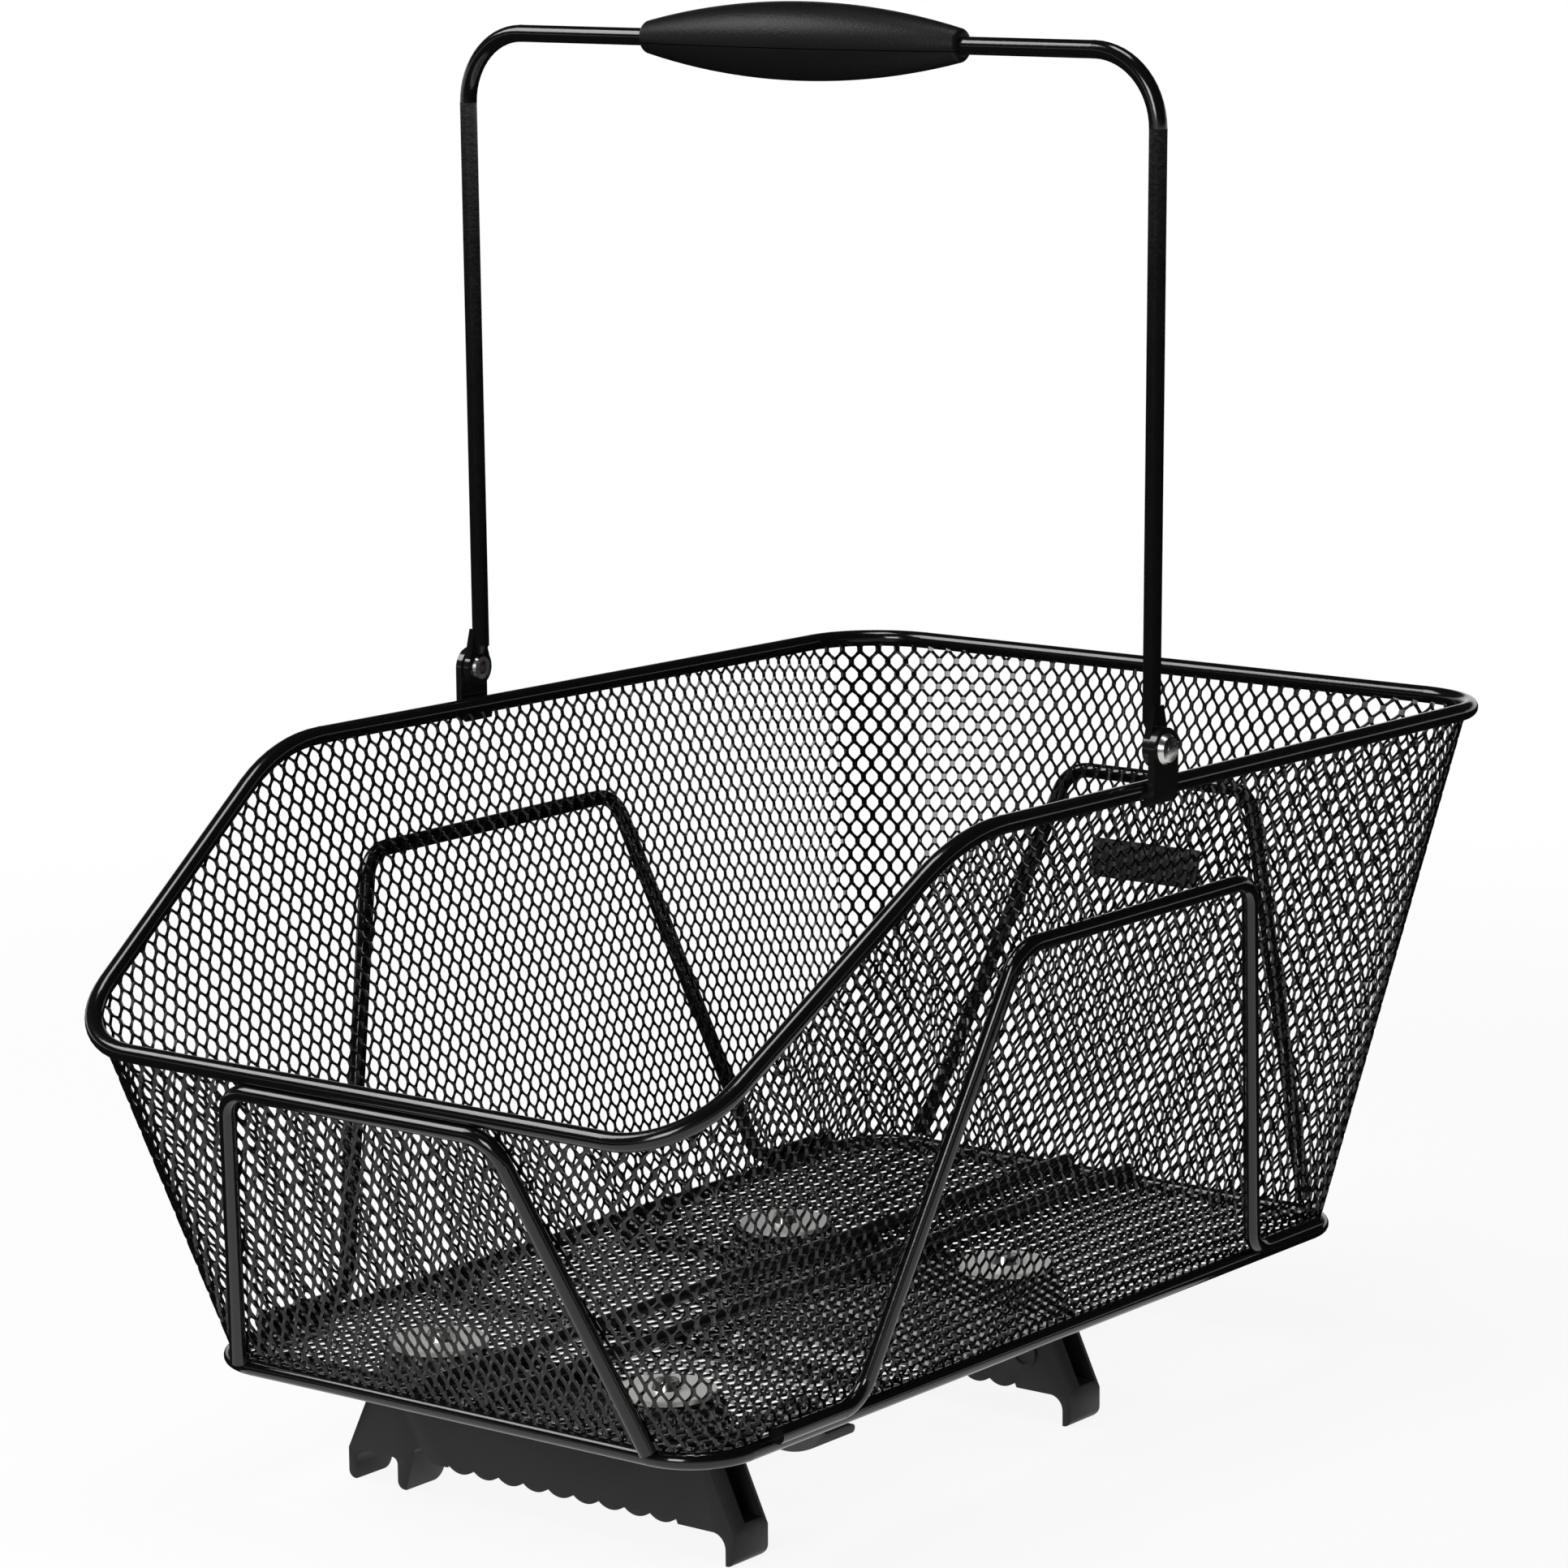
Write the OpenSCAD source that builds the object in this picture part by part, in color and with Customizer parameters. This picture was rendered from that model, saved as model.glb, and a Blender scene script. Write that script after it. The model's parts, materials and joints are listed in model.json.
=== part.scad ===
/* [Basket] */
// Length of the base ring between wire centres
base_length = 332; // [312:1:352]
// Width of the base ring between wire centres
base_width = 188; // [180:1:204]
// Rim height of the low end above the base ring
front_height = 99; // [90:1:110]
// Rim height at the knee above the base ring
knee_height = 170; // [162:1:180]
// Rim height of the high end above the base ring
rear_height = 166.5; // [160:0.5:176]
// Distance of the knee in front of the base middle
knee_forward = 92; // [80:1:100]
// Outward run of the front wall per unit of height
front_flare = 0.345; // [0.25:0.005:0.4]
// Outward run of the side walls per unit of height
side_flare = 0.2; // [0.15:0.005:0.25]
// Outward run of the rear wall per unit of height
rear_flare = 0.23; // [0.18:0.005:0.3]
// Bend radius of the base ring's corners
base_corner = 19; // [16:1:26]
// Bend radius of the rim's corners
rim_corner = 28; // [20:1:32]
// Bend radius of the rim at the knee
knee_bend = 62; // [40:1:75]

/* [Wires] */
// Diameter of the rim wire
rim_wire = 5.5; // [5:0.1:6]
// Diameter of the base ring wire
base_wire = 5; // [4.5:0.1:5.5]
// Diameter of the wall hoops
hoop_wire = 5; // [4.5:0.1:5.5]
// Diameter of the wires under and on the floor
floor_wire = 5; // [4.5:0.1:5.5]
// Depth by which welded wires bite into each other
weld_bite = 0.15; // [0.1:0.05:0.25]
// Inner bend radius of the hoops
hoop_bend = 11; // [8:1:14]
// Width of the front hoop's top
front_hoop_top = 98; // [80:1:110]
// Height of the side hoops above the base ring
side_hoop_height = 132; // [115:1:140]
// Height of the rear hoop above the base ring
rear_hoop_height = 130; // [115:1:140]
// Width of the rear hoop's top
rear_hoop_top = 72; // [60:1:90]
// Width of the front and rear hoops at the base ring
end_hoop_base = 154; // [140:1:156]
// Width of the side hoops' tops
side_hoop_top = 120; // [100:1:140]
// Width of the side hoops at the base ring
side_hoop_base = 206; // [190:1:216]
// Length of the side hoops' feet along the base ring
side_hoop_foot = 38; // [26:1:40]
// Spacing of the two wires that run along the floor
floor_wire_spacing = 24; // [20:1:40]
// Length of the cross wires' feet along the base ring
cross_foot = 33; // [24:1:36]
// Drop of the cross wires below the middle of the base ring
cross_drop = 1.8; // [1.2:0.1:3]
// Bend radius of the cross wires
cross_bend = 8; // [6:1:10]
// Distance of the front cross wire from the front of the base ring
front_cross_inset = 15; // [12:1:20]
// Distance of the middle cross wire behind the front rail
middle_cross_gap = 49; // [30:1:60]
// Distance of the rear cross wire in front of the rear rail
rear_cross_gap = 31.5; // [24:0.5:40]

/* [Mesh] */
// Width of one mesh opening from bond to bond
mesh_pitch = 19; // [18:0.5:26]
// Height of one mesh opening from tip to tip
mesh_rise = 27; // [26:0.5:36]
// Width of a mesh strand
mesh_strand = 1.8; // [1.4:0.1:2.4]
// Thickness of the mesh sheet
mesh_sheet = 1; // [0.8:0.1:1.4]

/* [Handle] */
// Diameter of the handle wire
handle_wire_d = 5.3; // [4.5:0.1:5.5]
// Height of the handle's top above its pivots
handle_reach = 200; // [180:1:202]
// Bend radius at the handle's top
handle_bend = 22; // [16:1:30]
// Outward lean of each handle leg
handle_spread = 1.5; // [0:0.5:4]
// Distance of the pivots behind the base middle
handle_offset = 3; // [0:0.5:8]
// Height of the pivots above the rim
pivot_rise = 12; // [12:0.5:14]
// Length of the grip
grip_length = 118; // [100:1:140]
// Distance of the grip to the right of the handle's middle
grip_shift = 2; // [-4:0.5:4]
// Thickness of the grip at its middle
grip_d = 23.5; // [20:0.5:26]
// Thickness of the grip at its ends
grip_end_d = 9.5; // [9:0.5:12]
// Width of the ear plates
ear_width = 12.5; // [12:0.5:15]
// Thickness of the ear plates
ear_plate = 2.2; // [1.8:0.1:2.6]
// Diameter of the rivets' shanks
rivet_d = 5; // [4.5:0.1:5.2]

/* [Rails] */
// Height of the base ring above the rails' toes
rail_height = 40.5; // [38:0.5:45]
// Thickness of the cross rails
rail_depth = 16; // [14:1:22]
// Length of the cross rails under the base ring
rail_length = 117; // [108:1:124]
// Distance between the outer walls of the two tube seats
hook_span = 140.4; // [136:0.2:146]
// Width of the left tube seat
jaw_width = 16.4; // [14:0.2:18]
// Height of the tube seats above the toes
seat_height = 9.3; // [8:0.1:11]
// Radius of the tube seats' outer corners
seat_corner = 4.6; // [3:0.1:5.5]
// Thickness of the hooks outside the tube seats
hook_wall = 3; // [2.5:0.1:5]
// Thickness of the tine's toe beside the left tube seat
tine_toe = 3.4; // [2.6:0.1:5]
// Distance between the two cross rails
rail_spacing = 168.5; // [150:0.5:174]
// Distance of the front rail in front of the base middle
front_rail_forward = 119; // [112:0.5:121]
// Number of lobes under each rail
lobe_count = 9; // [7:1:10]
// Depth of the lobes under each rail
lobe_drop = 1.8; // [1:0.1:2.4]
// Diameter of the floor washers
washer_d = 29; // [24:1:30]
// Spacing of each rail's two screws
screw_spacing = 86; // [80:1:90]
// Diameter of the rail screws
screw_d = 5; // [4:0.5:5]

/* [Lever] */
// Length of the release lever behind its pin
lever_length = 45.4; // [38:0.2:48]
// Length of the lever's finger tab
tab_length = 15.3; // [12:0.1:20]
// Thickness of the lever's finger tab
tab_thick = 2.6; // [2:0.1:3.6]
// Depth of the lever's underside below its pin
lever_depth = 9.7; // [8:0.1:12]
// Width of the release lever
lever_width = 6; // [4:0.5:9]
// Diameter of the lever's pin
pin_d = 3; // [2.5:0.1:3.2]

/* [Rear plate] */
// Width of the plate on the rear wall
plate_width = 42; // [34:1:46]
// Height of the plate on the rear wall
plate_height = 13; // [10:1:16]
// Drop of the plate's lower edge below the rear hoop's top
plate_drop = 34; // [28:1:40]
// Thickness of the plate on the rear wall
plate_sheet = 1.5; // [1:0.1:2]

/* [Hidden] */
$fn = 48;
smooth = 96;
tiny = 0.01;
far = 500;
running_gap = 0.05;
side_gap = 0.2;
leg_inset = 0.3;
seam_half = 0.3;
seam_rise = 0.05;

rim_r = rim_wire / 2;
base_r = base_wire / 2;
hoop_r = hoop_wire / 2;
floor_r = floor_wire / 2;
handle_r = handle_wire_d / 2;

front_y = -base_length / 2;
rear_y = base_length / 2;
side_x = base_width / 2;
front_rim_y = front_y - front_flare * front_height;
rear_rim_y = rear_y + rear_flare * rear_height;
front_rim_x = side_x + side_flare * front_height;
knee_x = side_x + side_flare * knee_height;
rear_rim_x = side_x + side_flare * rear_height;

ring_z = rail_height + base_r;
base_y = -(front_rim_y + rear_rim_y) / 2;

ring_path = [
    [-side_x, front_y, 0],
    [side_x, front_y, 0],
    [side_x, rear_y, 0],
    [-side_x, rear_y, 0]
];
rim_path = [
    [-front_rim_x, front_rim_y, front_height],
    [front_rim_x, front_rim_y, front_height],
    [knee_x, -knee_forward, knee_height],
    [rear_rim_x, rear_rim_y, rear_height],
    [-rear_rim_x, rear_rim_y, rear_height],
    [-knee_x, -knee_forward, knee_height]
];
rim_bends = [rim_corner, rim_corner, knee_bend, rim_corner, rim_corner, knee_bend];

function unit(v) = v / norm(v);
function fold(a, b, c) = acos(unit(a - b) * unit(c - b));
function setback(a, b, c, r) = r / tan(fold(a, b, c) / 2);
function bend_centre(a, b, c, r) =
    b + unit(unit(a - b) + unit(c - b)) * r / sin(fold(a, b, c) / 2);
function bend_start(a, b, c, r) = b + unit(a - b) * setback(a, b, c, r);
function bend_end(a, b, c, r) = b + unit(c - b) * setback(a, b, c, r);
function bend_point(a, b, c, r, part) =
    let (
        middle = bend_centre(a, b, c, r),
        first = bend_start(a, b, c, r) - middle,
        last = bend_end(a, b, c, r) - middle,
        across = unit(last - first * ((last * first) / (r * r))) * r,
        turn = (180 - fold(a, b, c)) * part
    )
    middle + first * cos(turn) + across * sin(turn);

// straight length of wire between two points
module rod(start, end, diameter) {
    run = end - start;
    translate(start)
        rotate([0, acos(run.z / norm(run)), atan2(run.y, run.x)])
            cylinder(d = diameter, h = norm(run));
}

// one round bend of wire at the middle of three points, with a thin seam at each end
module elbow(a, b, c, r, diameter) {
    middle = bend_centre(a, b, c, r);
    start = bend_start(a, b, c, r);
    end = bend_end(a, b, c, r);
    first = unit(start - middle);
    last = unit(end - middle);
    axle = unit(cross(first, last));
    side = cross(axle, first);
    multmatrix([
        [first.x, side.x, axle.x, middle.x],
        [first.y, side.y, axle.y, middle.y],
        [first.z, side.z, axle.z, middle.z],
        [0, 0, 0, 1]
    ])
        rotate_extrude(angle = 180 - fold(a, b, c))
            translate([r, 0])
                circle(d = diameter);
    into = unit(a - b) * seam_half;
    away = unit(c - b) * seam_half;
    rod(start - into, start + into, diameter + seam_rise);
    rod(end - away, end + away, diameter + seam_rise);
}

// wire bent through a row of points, with the ends joined if closed
module bent_wire(path, radii, diameter, closed = false) {
    count = len(path);
    last = closed ? count - 1 : count - 2;
    function at(i) = path[(i + count) % count];
    function cut(i) =
        (!closed && (i == 0 || i == count - 1)) ? 0
        : setback(at(i - 1), at(i), at(i + 1), radii[i % count]) + seam_half / 2;
    for (i = [0 : last]) {
        along = unit(at(i + 1) - at(i));
        rod(at(i) + along * cut(i), at(i + 1) - along * cut((i + 1) % count), diameter);
    }
    for (i = [closed ? 0 : 1 : closed ? count - 1 : count - 2])
        elbow(at(i - 1), at(i), at(i + 1), radii[i], diameter);
}

module in_basket() {
    translate([0, base_y, ring_z])
        children();
}

// wall planes: flat drawing turned up onto a sloping wall
side_slope = sqrt(1 + side_flare * side_flare);
front_slope = sqrt(1 + front_flare * front_flare);
rear_slope = sqrt(1 + rear_flare * rear_flare);

module on_right_wall() {
    multmatrix([
        [0, side_flare / side_slope, 1 / side_slope, side_x],
        [1, 0, 0, 0],
        [0, 1 / side_slope, -side_flare / side_slope, 0],
        [0, 0, 0, 1]
    ])
        children();
}

module on_front_wall() {
    multmatrix([
        [1, 0, 0, 0],
        [0, -front_flare / front_slope, -1 / front_slope, front_y],
        [0, 1 / front_slope, -front_flare / front_slope, 0],
        [0, 0, 0, 1]
    ])
        children();
}

module on_rear_wall() {
    multmatrix([
        [-1, 0, 0, 0],
        [0, rear_flare / rear_slope, 1 / rear_slope, rear_y],
        [0, 1 / rear_slope, -rear_flare / rear_slope, 0],
        [0, 0, 0, 1]
    ])
        children();
}

// flat shapes are cut by lines given as [point, inward direction, inset]
function height_over(p, line) = (p - line[0]) * line[1] - line[2];
function trim(shape, line) = [
    for (i = [0 : len(shape) - 1])
        let (
            p = shape[i],
            q = shape[(i + 1) % len(shape)],
            hp = height_over(p, line),
            hq = height_over(q, line)
        )
        each concat(
            hp >= 0 ? [p] : [],
            hp * hq < 0 ? [p + (q - p) * hp / (hp - hq)] : []
        )
];
function trim_all(shape, lines, i = 0) =
    i == len(lines) || len(shape) < 3 ? shape
    : trim_all(trim(shape, lines[i]), lines, i + 1);
function drop_doubles(shape) = [
    for (i = [0 : len(shape) - 1])
        if (norm(shape[i] - shape[(i + 1) % len(shape)]) > weld_bite)
            shape[i]
];
function shape_area(shape) =
    len(shape) < 3 ? 0
    : abs([for (i = [0 : len(shape) - 1]) cross(shape[i], shape[(i + 1) % len(shape)])]
        * [for (p = shape) 1]) / 2;
function line_through(p, q, inset) =
    [p, [-unit(q - p).y, unit(q - p).x], inset];
function inset_more(lines, extra) = [for (l = lines) [l[0], l[1], l[2] + extra]];

bond_half = 3;
cell_slope = norm([mesh_pitch / 2, mesh_rise / 2 - bond_half]);
gap_half = mesh_pitch / 2 - mesh_strand / 2;
gap_tip = mesh_rise / 2 - mesh_strand * cell_slope / mesh_pitch;
gap_bond = bond_half - mesh_strand * (cell_slope - (mesh_rise / 2 - bond_half)) / mesh_pitch;
least_gap = 36;
border_share = 0.6;

function cell_gap(middle) = [
    middle + [0, gap_tip],
    middle + [-gap_half, gap_bond],
    middle + [-gap_half, -gap_bond],
    middle + [0, -gap_tip],
    middle + [gap_half, -gap_bond],
    middle + [gap_half, gap_bond]
];
row_step = mesh_rise / 2 + bond_half;
function net_gaps(lines, reach) =
    let (
        columns = ceil(reach / mesh_pitch),
        rows = ceil(reach / row_step),
        edge = inset_more(lines, mesh_strand * border_share)
    )
    [
        for (row = [-rows : rows])
            for (column = [-columns : columns])
                let (
                    middle = [(column + (row % 2 == 0 ? 0 : 0.5)) * mesh_pitch, row * row_step],
                    gap = trim_all(cell_gap(middle), edge),
                    clean = len(gap) < 3 ? [] : drop_doubles(gap)
                )
                if (shape_area(clean) > least_gap)
                    clean
    ];
function sums(list, i = 0, total = 0) =
    i == len(list) ? [total] : concat([total], sums(list, i + 1, total + list[i]));

// flat piece of expanded mesh, drawn between its cutting lines
module net(lines, reach) {
    square_start = [[-reach, -reach], [reach, -reach], [reach, reach], [-reach, reach]];
    loops = concat([trim_all(square_start, lines)], net_gaps(lines, reach));
    starts = sums([for (l = loops) len(l)]);
    translate([0, 0, -mesh_sheet / 2])
        linear_extrude(height = mesh_sheet)
            polygon(
                points = [for (l = loops) each l],
                paths = [
                    for (i = [0 : len(loops) - 1])
                        [for (k = [0 : len(loops[i]) - 1]) starts[i] + k]
                ]
            );
}

mesh_low = floor_r - cross_drop - weld_bite;
mesh_top = mesh_low + mesh_sheet;
rail_head = base_r + mesh_low;
mesh_bite = 0.3;
knee_cuts = 3;
rim_inset = rim_r - mesh_bite;
base_inset = base_r - mesh_bite;

function on_side(p) = [p.y, p.z * side_slope];
function on_front(p) = [p.x, p.z * front_slope];
function on_rear(p) = [-p.x, p.z * rear_slope];

ring_front_right = [ring_path[0], ring_path[1], ring_path[2]];
ring_rear_right = [ring_path[1], ring_path[2], ring_path[3]];
rim_front_right = [rim_path[0], rim_path[1], rim_path[2]];
rim_rear_right = [rim_path[2], rim_path[3], rim_path[4]];
rim_knee = [rim_path[1], rim_path[2], rim_path[3]];
function start_of(t, r) = bend_start(t[0], t[1], t[2], r);
function end_of(t, r) = bend_end(t[0], t[1], t[2], r);

module right_wall_net() {
    knee_middle = on_side(bend_centre(rim_knee[0], rim_knee[1], rim_knee[2], knee_bend));
    low = on_side(rim_path[1]);
    knee = on_side(rim_path[2]);
    high = on_side(rim_path[3]);
    slope_in = line_through(knee, low, 0)[1];
    top_in = line_through(high, knee, 0)[1];
    lines = concat(
        [
            [[0, 0], [0, 1], base_inset],
            line_through(knee, low, rim_inset),
            line_through(high, knee, rim_inset),
            line_through(
                on_side(end_of(rim_front_right, rim_corner)),
                on_side(end_of(ring_front_right, base_corner)), 0),
            line_through(
                on_side(start_of(ring_rear_right, base_corner)),
                on_side(start_of(rim_rear_right, rim_corner)), 0)
        ],
        [
            for (i = [1 : knee_cuts])
                let (part = i / (knee_cuts + 1))
                [knee_middle, unit(slope_in * (1 - part) + top_in * part), rim_inset - knee_bend]
        ]
    );
    on_right_wall()
        net(lines, base_length);
}

module front_wall_net() {
    lines = [
        [[0, 0], [0, 1], base_inset],
        [[0, front_height * front_slope], [0, -1], rim_inset],
        line_through(
            on_front(start_of(ring_front_right, base_corner)),
            on_front(start_of(rim_front_right, rim_corner)), 0),
        line_through(
            on_front(mirrored(start_of(rim_front_right, rim_corner))),
            on_front(mirrored(start_of(ring_front_right, base_corner))), 0)
    ];
    on_front_wall()
        net(lines, base_width);
}

module rear_wall_net() {
    lines = [
        [[0, 0], [0, 1], base_inset],
        [[0, rear_height * rear_slope], [0, -1], rim_inset],
        line_through(
            on_rear(end_of(rim_rear_right, rim_corner)),
            on_rear(end_of(ring_rear_right, base_corner)), 0),
        line_through(
            on_rear(mirrored(end_of(ring_rear_right, base_corner))),
            on_rear(mirrored(end_of(rim_rear_right, rim_corner))), 0)
    ];
    on_rear_wall()
        net(lines, base_width);
}

function mirrored(p) = [-p.x, p.y, p.z];

// curved piece of mesh between one ring corner and the rim corner above it
corner_columns = 4;
gap_share = 0.84;
half_gap_share = 0.68;
function corner_spot(ring, rim, part, up) =
    let (
        foot = bend_point(ring[0], ring[1], ring[2], base_corner, part),
        head = bend_point(rim[0], rim[1], rim[2], rim_corner, part),
        low = base_inset / norm(head - foot),
        high = 1 - rim_inset / norm(head - foot),
        share = low + (high - low) * up
    )
    foot + (head - foot) * share;
function corner_out(ring, rim, part, up) =
    let (
        step = 0.001,
        a = corner_spot(ring, rim, max(part - step, 0), up),
        b = corner_spot(ring, rim, min(part + step, 1), up),
        c = corner_spot(ring, rim, part, max(up - step, 0)),
        d = corner_spot(ring, rim, part, min(up + step, 1))
    )
    unit(cross(b - a, d - c));

module corner_net(ring, rim, height) {
    rows = 2 * round(height / mesh_rise);
    columns = corner_columns;
    half = mesh_sheet / 2;
    grid = [for (j = [0 : rows]) for (i = [0 : columns]) [i, j]];
    diamonds = [
        for (j = [1 : rows - 1])
            for (i = [1 : columns - 1])
                if ((i + j) % 2 == 1)
                    [[i + 1, j], [i, j + 1], [i - 1, j], [i, j - 1]]
    ];
    side_halves = [
        for (j = [1 : 2 : rows - 1])
            each [
                [[0, j + 1], [0, j - 1], [1, j]],
                [[columns, j - 1], [columns, j + 1], [columns - 1, j]]
            ]
    ];
    end_halves = [
        for (i = [1 : 2 : columns - 1])
            each [
                [[i - 1, 0], [i + 1, 0], [i, 1]],
                [[i + 1, rows], [i - 1, rows], [i, rows - 1]]
            ]
    ];
    halves = concat(side_halves, end_halves);
    cells = concat(diamonds, halves);
    function middle_of(cell) = [for (k = cell) 1 / len(cell)] * cell;
    function share_of(cell) = len(cell) == 4 ? gap_share : half_gap_share;
    function gap_of(cell) =
        [for (spot = cell) middle_of(cell) + (spot - middle_of(cell)) * share_of(cell)];
    gaps = [for (cell = cells) gap_of(cell)];
    flat_spots = concat(grid, [for (gap = gaps) each gap]);
    starts = sums([for (gap = gaps) len(gap)]);
    count = len(flat_spots);
    function lift(s, side) =
        corner_spot(ring, rim, s.x / columns, s.y / rows)
        + corner_out(ring, rim, s.x / columns, s.y / rows) * half * side;
    function spot_index(spot) = spot.y * (columns + 1) + spot.x;
    function gap_index(n, k) = len(grid) + starts[n] + k % len(cells[n]);
    function cell_index(n, k) = spot_index(cells[n][k % len(cells[n])]);
    strips = [
        for (n = [0 : len(cells) - 1])
            for (k = [0 : len(cells[n]) - 1])
                [cell_index(n, k), cell_index(n, k + 1), gap_index(n, k + 1), gap_index(n, k)]
    ];
    outer = [for (r = strips) each [[r[0], r[2], r[1]], [r[0], r[3], r[2]]]];
    inner = [for (f = outer) [f[0] + count, f[2] + count, f[1] + count]];
    gap_walls = [
        for (r = strips)
            each [[r[2], r[3], r[3] + count], [r[2], r[3] + count, r[2] + count]]
    ];
    edge_walls = [
        for (h = halves)
            let (a = spot_index(h[0]), b = spot_index(h[1]))
            each [[a, b, b + count], [a, b + count, a + count]]
    ];
    points = concat([for (s = flat_spots) lift(s, 1)], [for (s = flat_spots) lift(s, -1)]);
    polyhedron(points = points, faces = concat(outer, inner, gap_walls, edge_walls));
}

// drawing of a hoop on a wall plane, lifted to lie on the mesh
hoop_lift = mesh_sheet / 2 + hoop_r - weld_bite;
foot_height = sqrt(pow(base_r + hoop_r - weld_bite, 2) - hoop_lift * hoop_lift);
rim_drop = sqrt(pow(rim_r + hoop_r - weld_bite, 2) - hoop_lift * hoop_lift);

module hoop(flat_path) {
    bends = [for (p = flat_path) hoop_bend];
    bent_wire([for (p = flat_path) [p.x, p.y, hoop_lift]], bends, hoop_wire);
}

leg_foot = foot_height - 2 * weld_bite;
foot_end = side_hoop_base / 2 + side_hoop_foot;

// rim position beside the handle pivots
rim_share = (handle_offset + knee_forward) / (rear_rim_y + knee_forward);
pivot_rim_z = knee_height + (rear_height - knee_height) * rim_share;
pivot_rim_x = side_x + side_flare * pivot_rim_z;
pivot_z = pivot_rim_z + pivot_rise;
ear_face = rim_r;
eye_sheet = ear_face - 2 * side_gap;
eye_face = side_gap;
eye_margin = 0.6;
eye_r = ear_width / 2 - eye_margin;

module at_right_pivot() {
    translate([pivot_rim_x, handle_offset, pivot_z])
        children();
}

module turned_to_x() {
    rotate([90, 0, 90])
        children();
}

// section of an ear: a plate that turns in under the rim
curl_angle = 78;
curl_r = ear_face + ear_plate;
module ear_section() {
    difference() {
        union() {
            circle(r = curl_r, $fn = smooth);
            square([curl_r, pivot_rise + ear_width]);
        }
        circle(r = ear_face, $fn = smooth);
        translate([ear_face - far, 0])
            square([far, far]);
        rotate(-curl_angle)
            translate([-far, -far])
                square([2 * far, far]);
    }
}

module ear_right() {
    at_right_pivot()
        difference() {
            intersection() {
                translate([0, ear_width, -pivot_rise])
                    rotate([90, 0, 0])
                        linear_extrude(height = 2 * ear_width)
                            ear_section();
                turned_to_x()
                    linear_extrude(height = 2 * curl_r)
                        union() {
                            circle(d = ear_width, $fn = smooth);
                            translate([-ear_width / 2, -2 * pivot_rise])
                                square([ear_width, 2 * pivot_rise]);
                        }
            }
            turned_to_x()
                cylinder(d = rivet_d, h = 2 * curl_r, $fn = smooth);
        }
}

head_over = 2.1;
head_r = rivet_d / 2 + head_over;
head_h = 1.6;
head_lip = 0.8;
rolled_over = 1.4;
rolled_r = rivet_d / 2 + rolled_over;
rolled_h = 1;
rolled_lip = 0.35;
rivet_wall = 0.5;
rivet_bore = rivet_d / 2 - rivet_wall;
dish_r = 12;
dish_floor = 0.9;

module rivet_right() {
    shank = ear_face + ear_plate - eye_face + side_gap;
    at_right_pivot()
        translate([eye_face - side_gap, 0, 0])
            rotate([0, 90, 0])
                difference() {
                    union() {
                        cylinder(d = rivet_d, h = shank, $fn = smooth);
                        translate([0, 0, -rolled_h])
                            cylinder(r1 = rolled_r - rolled_lip, r2 = rolled_r, h = rolled_h, $fn = smooth);
                        translate([0, 0, shank])
                            cylinder(r1 = head_r, r2 = head_r - head_lip, h = head_h, $fn = smooth);
                    }
                    translate([0, 0, -rolled_h - tiny])
                        cylinder(r = rivet_bore, h = shank, $fn = smooth);
                    translate([0, 0, shank + dish_floor + dish_r])
                        sphere(r = dish_r, $fn = smooth);
                }
}

// handle drawn around its pivot axis
leg_x = pivot_rim_x - leg_inset;
leg_gap = 1.5;
leg_start = eye_r + leg_gap;
leg_taper = 2.5;
neck_inset = 0.5;
neck_half = handle_r - neck_inset;
eye_flank = eye_r - 0.1;
module handle_eye() {
    translate([pivot_rim_x + eye_face, 0, 0])
        turned_to_x()
            linear_extrude(height = eye_sheet)
                difference() {
                    union() {
                        circle(r = eye_r, $fn = smooth);
                        polygon([
                            [-eye_flank, 0],
                            [eye_flank, 0],
                            [neck_half, leg_start + handle_wire_d],
                            [-neck_half, leg_start + handle_wire_d]
                        ]);
                    }
                    circle(d = rivet_d + 2 * running_gap, $fn = smooth);
                }
    translate([leg_x, 0, leg_start - leg_taper])
        cylinder(d1 = handle_r, d2 = handle_wire_d + seam_rise, h = leg_taper + seam_half);
}

module handle_body() {
    bent_wire(
        [
            [-leg_x, 0, leg_start],
            [-leg_x - handle_spread, 0, handle_reach],
            [leg_x + handle_spread, 0, handle_reach],
            [leg_x, 0, leg_start]
        ],
        [0, handle_bend, handle_bend, 0],
        handle_wire_d
    );
    handle_eye();
    mirror([1, 0, 0])
        handle_eye();
}

module in_handle() {
    in_basket()
        translate([0, handle_offset, pivot_z])
            children();
}

grip_round = 2;
grip_bulge = grip_d / 2 - grip_end_d / 2;
grip_arc = (grip_bulge * grip_bulge + grip_length * grip_length / 4) / (2 * grip_bulge);
grip_shoulder = grip_length / 2 - grip_round;
end_lap = 0.3;
shoulder_r = sqrt(grip_arc * grip_arc - grip_shoulder * grip_shoulder) + grip_d / 2 - grip_arc;

// spindle of the grip along X, with rounded ends
module grip_spindle() {
    turned_to_x()
        rotate_extrude($fn = smooth)
            intersection() {
                translate([grip_d / 2 - grip_arc, 0])
                    circle(r = grip_arc, $fn = 4 * smooth);
                union() {
                    translate([handle_r, -grip_shoulder - end_lap])
                        square([grip_d, 2 * (grip_shoulder + end_lap)]);
                    translate([handle_r, -grip_length / 2])
                        square([shoulder_r - grip_round - handle_r, grip_length]);
                    for (end = [-1, 1])
                        translate([shoulder_r - grip_round, end * grip_shoulder])
                            circle(r = grip_round);
                }
            }
}

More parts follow.
